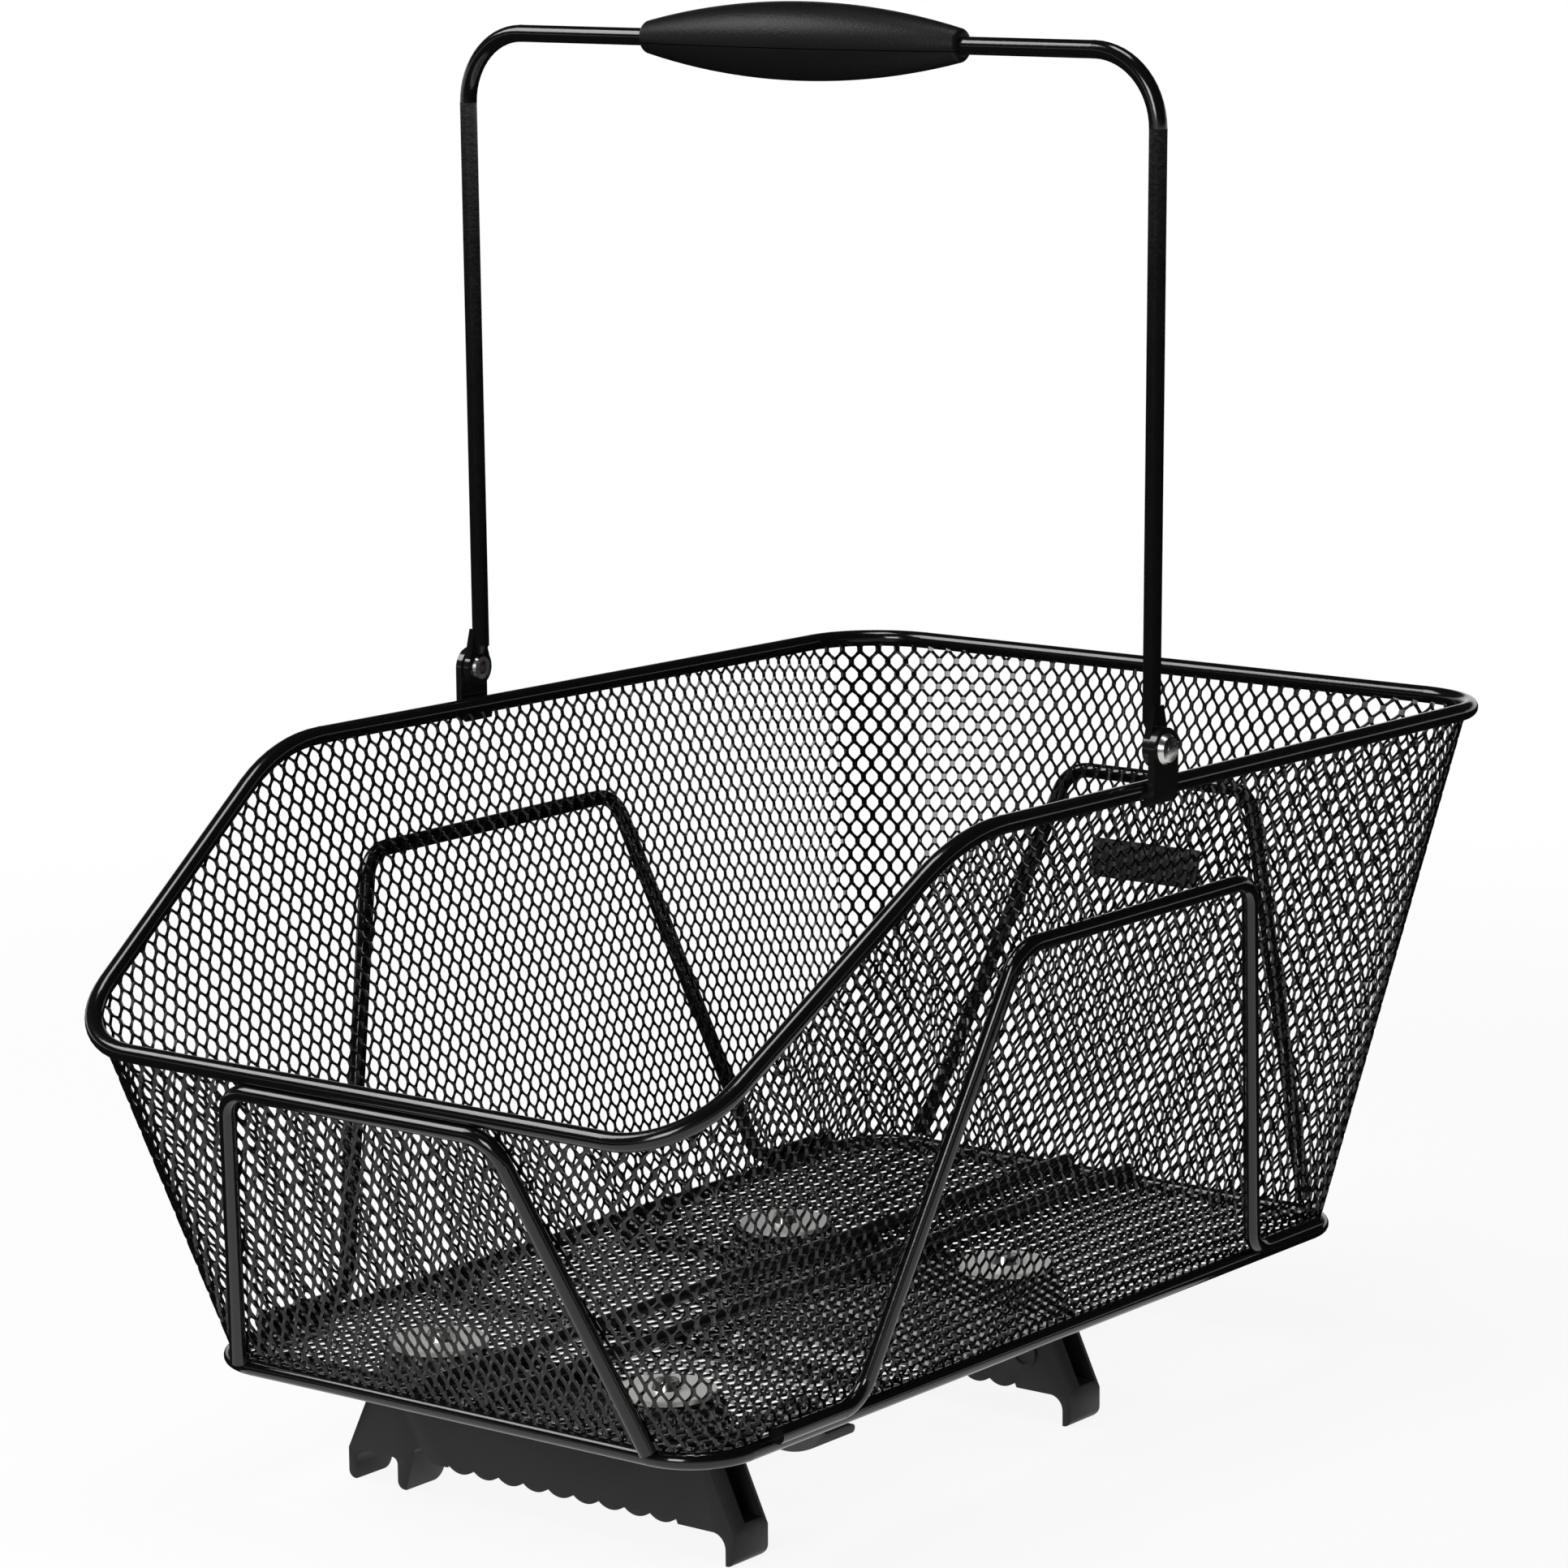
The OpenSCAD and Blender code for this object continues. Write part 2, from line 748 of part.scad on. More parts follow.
parting = 0.25;
parting_drop = 1.5;
module grip_half(upper) {
    in_handle()
        translate([grip_shift, 0, handle_reach])
            difference() {
                grip_spindle();
                translate([-far, -far, upper ? -parting_drop - 2 * far : -parting_drop - parting])
                    cube([2 * far, 2 * far, 2 * far]);
            }
}

// cross rail drawn in X and Z with the bottom of the base ring at zero
rail_foot = -rail_height;
seat_z = rail_foot + seat_height;
hook_in = hook_span / 2;
toe_half = hook_in + hook_wall;
rail_half = rail_length / 2;
rail_slope = (toe_half - rail_half) / -seat_z;
jaw_right = jaw_width - hook_in;
jaw_round = 2;
toe_round = 2.4;
tine_lean = 3.1;
notch_r = 2.6;
notch_rise = 4.6;
landing = 6;
landing_rise = 0.7;
lobe_rise = 1.4;
lobe_edge = seat_z + lobe_rise;
lobe_bite = 0.3;
step_run = 0.8;
seat_flat = 13.5;
tine_right = jaw_right + tine_toe;
notch_x = tine_right + tine_lean + notch_r;
notch_z = seat_z + notch_rise - notch_r;
lobe_left = notch_x + 2 * notch_r + landing;
lobe_right = hook_in - seat_corner - seat_flat;
lobe_pitch = (lobe_right - lobe_left) / lobe_count;
lobe_r = (lobe_pitch * lobe_pitch / 4 + lobe_drop * lobe_drop) / (2 * lobe_drop);
function rail_end(drop) = rail_half + rail_slope * drop;

// what a round corner of radius r leaves of the square corner at the origin
module spandrel(r) {
    difference() {
        translate([-tiny, -tiny])
            square(r + tiny);
        translate([r, r])
            circle(r = r, $fn = smooth);
    }
}

module spandrel_at(x, z, right, up, r) {
    translate([x, z])
        mirror([right > 0 ? 0 : 1, 0])
            mirror([0, up > 0 ? 0 : 1])
                spandrel(r);
}

module rail_outline() {
    difference() {
        polygon([
            [-rail_half, rail_head],
            [-rail_half, 0],
            [-toe_half, seat_z],
            [-toe_half, rail_foot],
            [toe_half, rail_foot],
            [toe_half, seat_z],
            [rail_half, 0],
            [rail_half, rail_head]
        ]);
        spandrel_at(-toe_half, rail_foot, 1, 1, toe_round);
        spandrel_at(toe_half, rail_foot, -1, 1, toe_round);
    }
}

module jaw_cut() {
    difference() {
        translate([-hook_in, rail_foot - seat_height])
            square([jaw_width, 2 * seat_height]);
        spandrel_at(-hook_in, seat_z, 1, -1, seat_corner);
        spandrel_at(jaw_right, seat_z, -1, -1, jaw_round);
    }
    spandrel_at(jaw_right, rail_foot, 1, 1, toe_round);
}

module middle_cut() {
    difference() {
        polygon([
            [tine_right, rail_foot],
            [notch_x - notch_r, notch_z],
            [notch_x + notch_r, notch_z],
            [notch_x + 2 * notch_r, seat_z + landing_rise],
            [lobe_left - landing_rise, seat_z + landing_rise],
            [lobe_left, lobe_edge + lobe_bite],
            [lobe_right, lobe_edge + lobe_bite],
            [lobe_right + step_run, seat_z],
            [hook_in, seat_z],
            [hook_in, rail_foot - seat_height],
            [tine_right, rail_foot - seat_height]
        ]);
        spandrel_at(hook_in, seat_z, -1, -1, seat_corner);
    }
    translate([notch_x, notch_z])
        circle(r = notch_r, $fn = smooth);
}

module rail_face() {
    difference() {
        rail_outline();
        jaw_cut();
        middle_cut();
    }
    for (i = [0 : lobe_count - 1])
        translate([lobe_left + (i + 0.5) * lobe_pitch, lobe_edge - lobe_drop + lobe_r])
            circle(r = lobe_r, $fn = smooth);
}

// end view of a rail, with its toes rounded at the back
heel_round = 3.5;
module rail_side() {
    difference() {
        translate([-rail_depth / 2, rail_foot])
            square([rail_depth, rail_height + rail_head]);
        spandrel_at(rail_depth / 2, rail_foot, -1, 1, heel_round);
    }
}

pocket_deep = 7;
pin_drop = 4.5;
pocket_over = 0.8;
pocket_top = pin_drop - pin_d / 2 - pocket_over;
pocket_drop = 29;
pocket_front = 6.5;
pocket_back = 1.5;
module rail_pocket() {
    translate([0, rail_depth / 2 - pocket_back, 0])
        rotate([90, 0, 0])
            linear_extrude(height = rail_depth - pocket_front - pocket_back)
                polygon([
                    [rail_end(pocket_top) - pocket_deep, -pocket_top],
                    [rail_end(pocket_drop) - pocket_deep, -pocket_drop],
                    [rail_end(pocket_drop) + pocket_deep, -pocket_drop],
                    [rail_end(pocket_top) + pocket_deep, -pocket_top]
                ]);
}

module rail_solid() {
    difference() {
        intersection() {
            rotate([90, 0, 0])
                translate([0, 0, -rail_depth / 2])
                    linear_extrude(height = rail_depth)
                        rail_face();
            translate([-hook_span, 0, 0])
                turned_to_x()
                    linear_extrude(height = 2 * hook_span)
                        rail_side();
        }
        for (x = [-screw_spacing / 2, screw_spacing / 2])
            translate([x, 0, rail_head - screw_hole])
                cylinder(d = screw_d, h = 2 * screw_hole, $fn = smooth);
        rail_pocket();
        mirror([1, 0, 0])
            rail_pocket();
    }
}

front_rail_y = -front_rail_forward;
rear_rail_y = rail_spacing - front_rail_forward;
screw_reach = 16;
screw_hole = 14;
washer_sheet = 1.5;
head_spread = 2;
screw_head_r = screw_d / 2 + head_spread;
screw_head_h = 2.6;
screw_head_lip = 0.9;
head_bite = 1;
slot_half = 2.5;
slot_width = 1;
slot_deep = 1.3;
screw_room = 0.5;
washer_room = 0.2;

module at_rails() {
    for (y = [front_rail_y, rear_rail_y])
        for (x = [-screw_spacing / 2, screw_spacing / 2])
            translate([x, y, 0])
                children();
}

// lever drawn in Y and Z around its pin
pin_cover = 4;
pin_back = rail_depth / 2 - pin_cover;
pin_y = front_rail_y + pin_back;
pin_z = -base_r - pin_drop;
hub_r = 4;
lever_gap = 0.4;
lever_x = rail_end(pin_drop + lever_depth + hub_r) + lever_gap;
belly_r = 37;
belly_y = 25.4;
notch_round = 2;

module lever_face() {
    body = lever_length - tab_length;
    difference() {
        union() {
            circle(r = hub_r, $fn = smooth);
            intersection() {
                translate([0, -lever_depth])
                    square([body, lever_depth + hub_r]);
                union() {
                    translate([belly_y, belly_r - lever_depth])
                        circle(r = belly_r, $fn = 2 * smooth);
                    translate([belly_y, -lever_depth])
                        square([lever_length, lever_depth + hub_r]);
                }
            }
            translate([belly_y, -lever_depth])
                square([lever_length - belly_y - tab_thick / 2, tab_thick]);
            translate([lever_length - tab_thick / 2, tab_thick / 2 - lever_depth])
                circle(d = tab_thick, $fn = smooth);
            spandrel_at(body, tab_thick - lever_depth, 1, 1, notch_round);
        }
        circle(d = pin_d + 2 * running_gap, $fn = smooth);
    }
}

pin_head_r = pin_d;
pin_head_h = 1.4;
pin_root = 14;

module rim_wire() {
    color("#151515")
        in_basket()
            bent_wire(rim_path, rim_bends, rim_wire, true);
}

module base_ring() {
    color("#151515")
        in_basket()
            bent_wire(ring_path, [for (p = ring_path) base_corner], base_wire, true);
}

module front_hoop() {
    top = front_height * front_slope - rim_drop;
    color("#1c1c1c")
        in_basket()
            on_front_wall()
                hoop([
                    [-end_hoop_base / 2, leg_foot],
                    [-front_hoop_top / 2, top],
                    [front_hoop_top / 2, top],
                    [end_hoop_base / 2, leg_foot]
                ]);
}

module rear_hoop() {
    top = rear_hoop_height * rear_slope;
    color("#1c1c1c")
        in_basket()
            on_rear_wall()
                hoop([
                    [-end_hoop_base / 2, leg_foot],
                    [-rear_hoop_top / 2, top],
                    [rear_hoop_top / 2, top],
                    [end_hoop_base / 2, leg_foot]
                ]);
}

module right_hoop() {
    top = side_hoop_height * side_slope;
    color("#1c1c1c")
        in_basket()
            on_right_wall()
                translate([handle_offset, 0, 0])
                    hoop([
                        [-foot_end, foot_height],
                        [-side_hoop_base / 2, foot_height],
                        [-side_hoop_top / 2, top],
                        [side_hoop_top / 2, top],
                        [side_hoop_base / 2, foot_height],
                        [foot_end, foot_height]
                    ]);
}

module left_hoop() {
    mirror([1, 0, 0])
        right_hoop();
}

module front_mesh() {
    color("#202020")
        in_basket()
            front_wall_net();
}

module rear_mesh() {
    color("#202020")
        in_basket()
            rear_wall_net();
}

module right_mesh() {
    color("#202020")
        in_basket()
            right_wall_net();
}

module left_mesh() {
    mirror([1, 0, 0])
        right_mesh();
}

floor_bite = 1.25;
floor_inset = base_r - floor_bite;
corner_step = 15;
module floor_mesh() {
    corner_middle = [side_x - base_corner, rear_y - base_corner];
    lines = concat(
        [
            [[-side_x, 0], [1, 0], floor_inset],
            [[side_x, 0], [-1, 0], floor_inset],
            [[0, front_y], [0, 1], floor_inset],
            [[0, rear_y], [0, -1], floor_inset]
        ],
        [
            for (sx = [-1, 1])
                for (sy = [-1, 1])
                    for (turn = [corner_step : corner_step : 90 - corner_step])
                        [
                            [corner_middle.x * sx, corner_middle.y * sy],
                            [-cos(turn) * sx, -sin(turn) * sy],
                            floor_inset - base_corner
                        ]
        ]
    );
    color("#202020")
        in_basket()
            difference() {
                translate([0, 0, mesh_top - mesh_sheet / 2])
                    net(lines, base_length);
                at_rails()
                    translate([0, 0, -base_wire])
                        cylinder(d = screw_d + 2 * screw_room, h = 2 * base_wire);
            }
}

module front_right_corner_mesh() {
    color("#202020")
        in_basket()
            corner_net(ring_front_right, rim_front_right, front_height);
}

module front_left_corner_mesh() {
    mirror([1, 0, 0])
        front_right_corner_mesh();
}

module rear_right_corner_mesh() {
    color("#202020")
        in_basket()
            corner_net(ring_rear_right, rim_rear_right, rear_height);
}

module rear_left_corner_mesh() {
    mirror([1, 0, 0])
        rear_right_corner_mesh();
}

module right_floor_wire() {
    reach = rear_y - sqrt(base_r * base_r - mesh_top * mesh_top) + 2 * weld_bite;
    color("#1c1c1c")
        in_basket()
            rod(
                [floor_wire_spacing / 2, -reach, mesh_top + floor_r],
                [floor_wire_spacing / 2, reach, mesh_top + floor_r],
                floor_wire
            );
}

module left_floor_wire() {
    mirror([1, 0, 0])
        right_floor_wire();
}

cross_inset = sqrt(pow(base_r + floor_r - weld_bite, 2) - cross_drop * cross_drop);
module cross_wire(y) {
    x = side_x - cross_inset;
    color("#1c1c1c")
        in_basket()
            translate([0, y, -cross_drop])
                bent_wire(
                    [
                        [-x, cross_foot, 0],
                        [-x, 0, 0],
                        [x, 0, 0],
                        [x, cross_foot, 0]
                    ],
                    [for (k = [0 : 3]) cross_bend],
                    floor_wire
                );
}

module front_cross_wire() {
    cross_wire(front_y + front_cross_inset);
}

module middle_cross_wire() {
    cross_wire(front_rail_y + middle_cross_gap);
}

module rear_cross_wire() {
    cross_wire(rear_rail_y - rear_cross_gap);
}

module right_ear() {
    color("#181818")
        in_basket()
            ear_right();
}

module left_ear() {
    mirror([1, 0, 0])
        right_ear();
}

module right_rivet() {
    color("#c9c9c6")
        in_basket()
            rivet_right();
}

module left_rivet() {
    mirror([1, 0, 0])
        right_rivet();
}

module front_rail() {
    color("#2b2b2b")
        in_basket()
            translate([0, front_rail_y, -base_r])
                difference() {
                    rail_solid();
                    translate([rail_half - pin_root, pin_back, -pin_drop])
                        rotate([0, 90, 0])
                            cylinder(d = pin_d, h = 2 * pin_root, $fn = smooth);
                }
}

boss_r = 4.5;
boss_h = 0.8;
boss_x = 56;
boss_low = 19.5;
boss_lip = 1.25;
module rear_rail() {
    color("#2b2b2b")
        in_basket()
            translate([0, rear_rail_y, -base_r]) {
                rail_solid();
                translate([boss_x, -rail_depth / 2 + tiny, -boss_low])
                    rotate([90, 0, 0])
                        difference() {
                            cylinder(r = boss_r, h = boss_h, $fn = smooth);
                            translate([0, 0, boss_h / 2])
                                cylinder(r = boss_r - boss_lip, h = boss_h, $fn = smooth);
                        }
            }
}

module rail_washers() {
    color("#b8b8b4")
        in_basket()
            at_rails()
                translate([0, 0, mesh_top])
                    difference() {
                        cylinder(d = washer_d, h = washer_sheet, $fn = smooth);
                        translate([0, 0, -washer_sheet])
                            cylinder(d = screw_d + 2 * washer_room, h = 3 * washer_sheet);
                    }
}

module rail_screws() {
    color("#b8b8b4")
        in_basket()
            at_rails()
                translate([0, 0, mesh_top + washer_sheet])
                    difference() {
                        union() {
                            cylinder(
                                r1 = screw_head_r,
                                r2 = screw_head_r - screw_head_lip,
                                h = screw_head_h
                            );
                            translate([0, 0, head_bite - screw_reach])
                                cylinder(d = screw_d, h = screw_reach, $fn = smooth);
                        }
                        for (turn = [0, 90])
                            rotate(turn)
                                translate([-slot_half, -slot_width / 2, screw_head_h - slot_deep])
                                    cube([2 * slot_half, slot_width, 2 * slot_deep]);
                    }
}

module lever_pin() {
    color("#8e8e8a")
        in_basket()
            translate([rail_half - pin_root, pin_y, pin_z])
                rotate([0, 90, 0]) {
                    length = pin_root + lever_x - rail_half + lever_width + side_gap;
                    cylinder(d = pin_d, h = length, $fn = smooth);
                    translate([0, 0, length])
                        cylinder(r = pin_head_r, h = pin_head_h);
                }
}

module release_lever() {
    color("#242424")
        in_basket()
            translate([lever_x, pin_y, pin_z])
                turned_to_x()
                    linear_extrude(height = lever_width)
                        lever_face();
}

module rear_plate() {
    color("#222222")
        in_basket()
            on_rear_wall()
                translate([-plate_width / 2, (rear_hoop_height - plate_drop) * rear_slope, mesh_sheet / 2])
                    cube([plate_width, plate_height, plate_sheet]);
}

module handle_wire() {
    color("#151515")
        in_handle()
            handle_body();
}

module grip_upper() {
    color("#1e1e1e")
        grip_half(true);
}

module grip_lower() {
    color("#1e1e1e")
        grip_half(false);
}

rim_wire();
base_ring();
front_hoop();
rear_hoop();
left_hoop();
right_hoop();
front_mesh();
rear_mesh();
left_mesh();
right_mesh();
floor_mesh();
front_left_corner_mesh();
front_right_corner_mesh();
rear_left_corner_mesh();
rear_right_corner_mesh();
left_floor_wire();
right_floor_wire();
front_cross_wire();
middle_cross_wire();
rear_cross_wire();
left_ear();
right_ear();
left_rivet();
right_rivet();
front_rail();
rear_rail();
rail_washers();
rail_screws();
lever_pin();
release_lever();
rear_plate();
handle_wire();
grip_upper();
grip_lower();
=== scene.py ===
import json
import math

import bmesh
import bpy
import numpy as np
from mathutils import Matrix, Vector


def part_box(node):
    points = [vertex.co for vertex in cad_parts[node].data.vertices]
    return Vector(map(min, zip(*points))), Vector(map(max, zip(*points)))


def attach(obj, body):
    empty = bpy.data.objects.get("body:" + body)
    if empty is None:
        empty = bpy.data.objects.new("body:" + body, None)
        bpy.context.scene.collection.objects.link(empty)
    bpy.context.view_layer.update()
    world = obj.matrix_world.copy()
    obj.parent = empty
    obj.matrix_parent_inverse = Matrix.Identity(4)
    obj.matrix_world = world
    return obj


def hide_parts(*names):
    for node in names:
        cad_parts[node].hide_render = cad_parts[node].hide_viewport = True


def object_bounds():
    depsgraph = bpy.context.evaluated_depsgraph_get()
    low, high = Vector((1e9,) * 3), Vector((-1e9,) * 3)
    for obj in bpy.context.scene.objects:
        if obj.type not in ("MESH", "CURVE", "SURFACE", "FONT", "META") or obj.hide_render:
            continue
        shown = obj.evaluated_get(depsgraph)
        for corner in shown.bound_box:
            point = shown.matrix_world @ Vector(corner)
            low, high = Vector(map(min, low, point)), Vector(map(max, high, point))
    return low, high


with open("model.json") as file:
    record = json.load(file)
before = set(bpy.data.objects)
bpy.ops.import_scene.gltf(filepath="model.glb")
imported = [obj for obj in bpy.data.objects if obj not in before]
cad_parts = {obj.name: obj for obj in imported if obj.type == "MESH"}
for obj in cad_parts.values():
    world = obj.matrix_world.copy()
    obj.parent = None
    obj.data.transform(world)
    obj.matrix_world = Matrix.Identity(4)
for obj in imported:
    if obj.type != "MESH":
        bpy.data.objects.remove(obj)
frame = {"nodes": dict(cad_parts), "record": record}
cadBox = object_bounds()
nodes = frame["nodes"]
print("frame loaded with", len(nodes), "nodes")

mm = 0.001

# sizes of the basket in millimetres, measured from the middle of the base ring
basket = {
    "length": 332, "width": 188,
    "frontHeight": 99, "kneeHeight": 170, "rearHeight": 166.5, "kneeForward": 92,
    "frontFlare": 0.345, "sideFlare": 0.2, "rearFlare": 0.23,
    "baseCorner": 19, "rimCorner": 28, "kneeBend": 62,
}
ringLow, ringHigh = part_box("base_ring")
basketMiddle = (ringLow + ringHigh) / 2  # the base ring's own middle in the frame
groundLevel = min(cadBox[0][2], 0)


def placed(points):
    return np.asarray(points, float) * mm + np.array(basketMiddle)


def linked(name, data):
    piece = bpy.data.objects.new(name, data)
    bpy.context.scene.collection.objects.link(piece)
    return piece


def grey(value):
    return (value, value, value * 1.02, 1)  # a trace of blue


class Sock:  # a shader socket that takes part in sums
    def __init__(self, tree, socket):
        self.tree, self.socket = tree, socket

    def maths(self, operation, other):
        return self.tree.add("ShaderNodeMath", {0: self, 1: other}, {"operation": operation})

    def __add__(self, other): return self.maths("ADD", other)
    def __sub__(self, other): return self.maths("SUBTRACT", other)
    def __mul__(self, other): return self.maths("MULTIPLY", other)
    __radd__, __rmul__ = __add__, __mul__


class Tree:
    def __init__(self, nodeTree):
        self.nodeTree = nodeTree
        nodeTree.nodes.clear()

    def add(self, kind, inputs=None, settings=None, output=0):
        node = self.nodeTree.nodes.new(kind)
        for name, value in (settings or {}).items():
            setattr(node, name, value)
        for name, value in (inputs or {}).items():
            if isinstance(value, Sock):
                self.nodeTree.links.new(value.socket, node.inputs[name])
            else:
                node.inputs[name].default_value = value
        return Sock(self, node.outputs[output]) if len(node.outputs) else None

    def coords(self):
        return self.add("ShaderNodeTexCoord", output="Object")

    def noise(self, where, scale, detail=3.0, rough=0.55):
        return self.add("ShaderNodeTexNoise", {
            "Vector": where, "Scale": scale, "Detail": detail, "Roughness": rough})

    def rise(self, value, low, high):  # from 0 at low to 1 at high
        ramp = self.add("ShaderNodeValToRGB", {"Fac": value})
        first, last = ramp.socket.node.color_ramp.elements
        first.position, first.color = low, grey(0)
        last.position, last.color = high, grey(1)
        return ramp

    def blend(self, share, low, high):  # 6, 7 and 2 are the node's colour sockets
        return self.add("ShaderNodeMix", {0: share, 6: low, 7: high}, {"data_type": "RGBA"}, 2)

    def mixed(self, share, first, second):
        return self.add("ShaderNodeMixShader", {0: share, 1: first, 2: second})

    def close(self, surface):
        self.add("ShaderNodeOutputMaterial", {"Surface": surface})


def newMaterial(name):
    material = bpy.data.materials.new(name)
    material.use_nodes = True
    return material, Tree(material.node_tree)


def closeFinish(tree, look, colour, cloud, fine, height):
    rough = look["rough"] + look["cloudRough"] * (cloud - 0.5) + look["fineRough"] * (fine - 0.5)
    bump = tree.add("ShaderNodeBump", {
        "Strength": look["bump"], "Distance": look["bumpDepth"], "Height": height})
    tree.close(tree.add("ShaderNodeBsdfPrincipled", {
        "Base Color": colour, "Roughness": rough, "Metallic": look["metal"],
        "Specular IOR Level": look["specular"], "Normal": bump}))


blackCoat = {
    "colour": 0.0035, "worn": 0.012, "wornEdge": (0.52, 0.62), "wornShare": 0.35,
    "rough": 0.13, "cloudScale": 38, "cloudRough": 0.08, "fineScale": 420, "fineRough": 0.06,
    "metal": 0.0, "specular": 0.5,
    "peelScale": 700, "cloudHeight": 0.4, "bump": 0.04, "bumpDepth": 0.0004,
}


def makeBlackCoat(name, look):
    material, tree = newMaterial(name)
    where = tree.coords()
    cloud = tree.noise(where, look["cloudScale"], detail=4)
    speck = tree.noise(where, look["fineScale"], detail=2)
    peel = tree.noise(where, look["peelScale"], detail=1)
    edge = tree.add("ShaderNodeNewGeometry", output="Pointiness")
    worn = tree.rise(edge, *look["wornEdge"]) * look["wornShare"]
    colour = tree.blend(worn, grey(look["colour"]), grey(look["worn"]))
    closeFinish(tree, look, colour, cloud, speck, peel + look["cloudHeight"] * cloud)
    return material


moulding = {
    "colour": 0.009, "pale": 0.018, "cloudShare": 0.6,
    "scuffScale": 210, "scuffEdge": (0.62, 0.8), "scuffShare": 0.2,
    "rough": 0.46, "cloudScale": 26, "cloudRough": 0.14, "fineScale": 1500, "fineRough": 0.1,
    "metal": 0.0, "specular": 0.4, "bump": 0.16, "bumpDepth": 0.0003,
}


def makeMoulding(name, look):
    material, tree = newMaterial(name)
    where = tree.coords()
    cloud = tree.noise(where, look["cloudScale"], detail=5)
    grain = tree.noise(where, look["fineScale"], detail=2, rough=0.7)
    scuff = tree.noise(where, look["scuffScale"], detail=6, rough=0.75)
    marks = tree.rise(scuff, *look["scuffEdge"]) * look["scuffShare"]
    colour = tree.blend(
        cloud * look["cloudShare"] + marks, grey(look["colour"]), grey(look["pale"]))
    closeFinish(tree, look, colour, cloud, grain, grain)
    return material


brightPlate = {
    "colour": (0.72, 0.71, 0.69, 1), "dull": (0.48, 0.47, 0.45, 1),
    "rough": 0.24, "cloudScale": 130, "cloudRough": 0.22, "fineScale": 1300, "fineRough": 0.1,
    "metal": 1.0, "specular": 0.5, "bump": 0.08, "bumpDepth": 0.0002,
}


def makeBrightPlate(name, look):
    material, tree = newMaterial(name)
    where = tree.coords()
    cloud = tree.noise(where, look["cloudScale"], detail=5)
    fine = tree.noise(where, look["fineScale"], detail=2)
    colour = tree.blend(cloud, look["dull"], look["colour"])
    closeFinish(tree, look, colour, cloud, fine, fine)
    return material


coatOnWire = makeBlackCoat("coat_on_wire", blackCoat)
coatOnMesh = makeBlackCoat("coat_on_mesh", dict(
    blackCoat, colour=0.002, worn=0.005, rough=0.15, specular=0.44))
railMoulding = makeMoulding("rail_moulding", dict(
    moulding, colour=0.006, pale=0.012, rough=0.42, specular=0.25))
leverMoulding = makeMoulding("lever_moulding", moulding)
gripMoulding = makeMoulding("grip_moulding", dict(
    moulding, colour=0.004, pale=0.008, rough=0.4, specular=0.16, fineScale=1200, bump=0.3))
nickel = makeBrightPlate("nickel_plate", brightPlate)
washerPlate = makeBrightPlate("washer_plate", dict(
    brightPlate, colour=(0.82, 0.81, 0.79, 1), dull=(0.64, 0.63, 0.61, 1), rough=0.38, metal=0.4))
print("finishes made")

# by material slot, or by node where one piece has a finish of its own
finishOf = {
    "frame_coat": coatOnWire, "mesh_coat": coatOnMesh, "bright_metal": nickel,
    "rail_plastic": railMoulding, "lever_plastic": leverMoulding,
    "plate_plastic": leverMoulding, "grip_plastic": gripMoulding, "rail_washers": washerPlate,
}
smoothAngle = math.radians(32)


def smooth(mesh, angle):
    mesh.polygons.foreach_set("use_smooth", [True] * len(mesh.polygons))
    mesh.set_sharp_from_angle(angle=angle)


for part in frame["record"]["subparts"]:
    solid = nodes[part["node"]].data
    solid.materials.clear()
    solid.materials.append(finishOf.get(part["node"]) or finishOf[part["material_slot"]])
    smooth(solid, smoothAngle)

# widths of the rounded edges in millimetres
softEdges = {"front_rail": 0.7, "rear_rail": 0.7, "release_lever": 0.5, "rear_plate": 0.5}
weldReach = 0.002  # points closer than this count as one, in millimetres


def softenEdges(piece, width):
    weld = piece.modifiers.new("weld", "WELD")
    weld.merge_threshold = weldReach * mm
    bevel = piece.modifiers.new("soft edges", "BEVEL")
    bevel.width, bevel.segments = width * mm, 3
    bevel.limit_method, bevel.angle_limit = "ANGLE", smoothAngle
    bevel.harden_normals = True


for name, width in softEdges.items():
    softenEdges(nodes[name], width)


def unit(vector):
    return vector / np.linalg.norm(vector)


def bend(before, corner, after, radius):  # the arc that rounds a corner, by its share from 0 to 1
    toBefore, toAfter = unit(before - corner), unit(after - corner)
    half = math.acos(toBefore @ toAfter) / 2
    run = radius / math.tan(half)
    middle = corner + unit(toBefore + toAfter) * radius / math.sin(half)
    first = corner + toBefore * run - middle
    last = corner + toAfter * run - middle
    across = unit(last - first * (last @ first) / radius ** 2) * radius
    turn = math.pi - 2 * half

    def spot(share):
        return middle + first * math.cos(turn * share) + across * math.sin(turn * share)
    return spot


def corners():  # of the ring and the rim, before they are rounded
    halfLength, halfWidth = basket["length"] / 2, basket["width"] / 2

    def rimPair(y, height, flare):
        x = halfWidth + basket["sideFlare"] * height
        return [np.array([side * x, y + flare * height, height]) for side in (-1, 1)]
    ring = [np.array([x * halfWidth, y * halfLength, 0.0])
            for x, y in ((-1, -1), (1, -1), (1, 1), (-1, 1))]
    low = rimPair(-halfLength, basket["frontHeight"], -basket["frontFlare"])
    knee = rimPair(-basket["kneeForward"], basket["kneeHeight"], 0)
    high = rimPair(halfLength, basket["rearHeight"], basket["rearFlare"])
    return ring, low, knee, high


